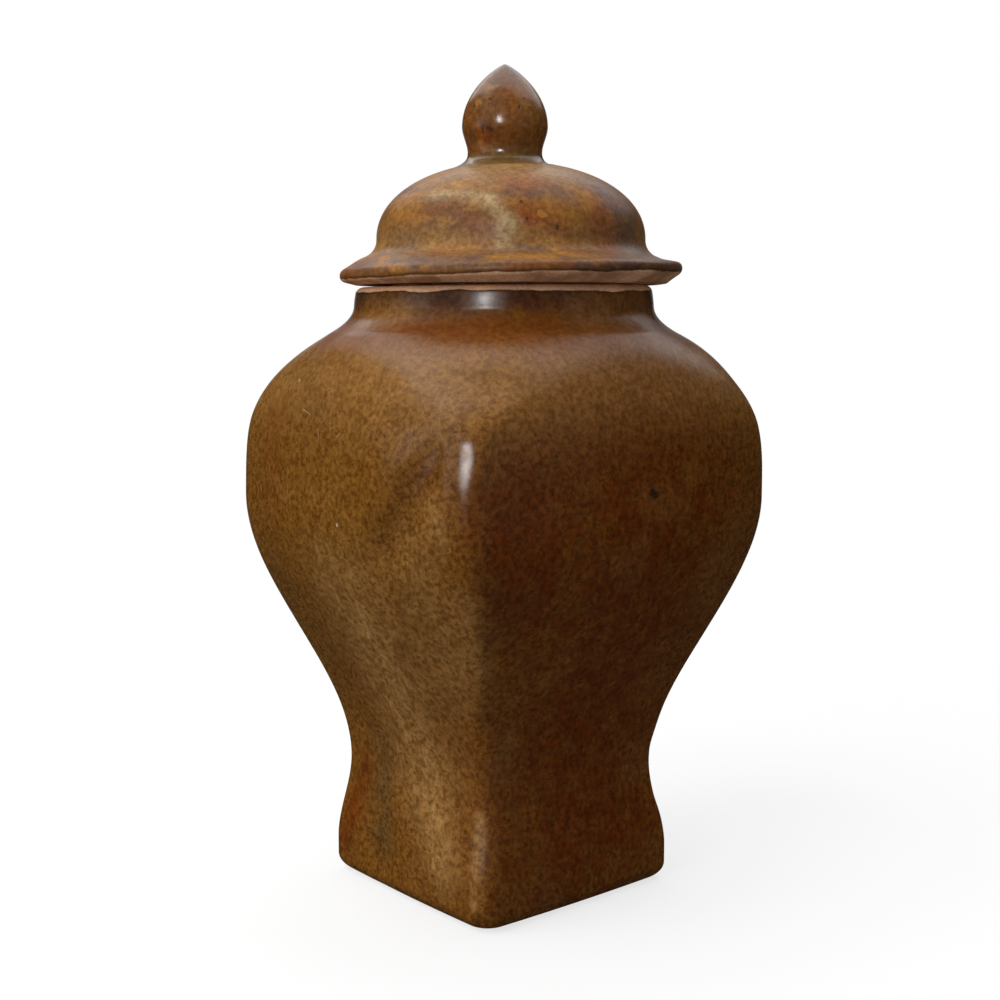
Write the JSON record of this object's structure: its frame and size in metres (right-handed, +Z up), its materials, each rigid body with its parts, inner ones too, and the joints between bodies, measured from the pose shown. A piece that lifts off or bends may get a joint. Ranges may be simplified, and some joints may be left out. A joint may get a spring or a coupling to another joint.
{
  "type": "covered ceramic jar",
  "caption": "Covered stoneware jar with a square baluster body that turns round at the shoulder, and a loose domed lid with a bud finial, in speckled brown glaze.",
  "frame": {"origin": "middle of the foot's underside, on the surface that the jar stands on", "axes": "+Z up along the jar's axis, +X and +Y square to two neighbouring faces of the body"},
  "size_m": [0.1258, 0.1258, 0.2368],
  "materials": {
    "brown_glaze": "satin olive-brown glaze with fine dark speckle, rust and golden patches and a few pinholes",
    "bare_clay": "unglazed fired clay, matt and slightly gritty"
  },
  "bodies": {
    "jar": {"jar_body": "brown_glaze", "jar_base": "brown_glaze", "neck_collar": "brown_glaze"},
    "lid": {"lid_dome": "brown_glaze", "lid_locating_collar": "bare_clay", "lid_finial": "brown_glaze"}
  },
  "joints": [
    {"name": "lid_lift", "type": "slide", "parent": "jar", "child": "lid", "axis": [0, 0, 1], "range_m": [0, 0.1]}
  ]
}
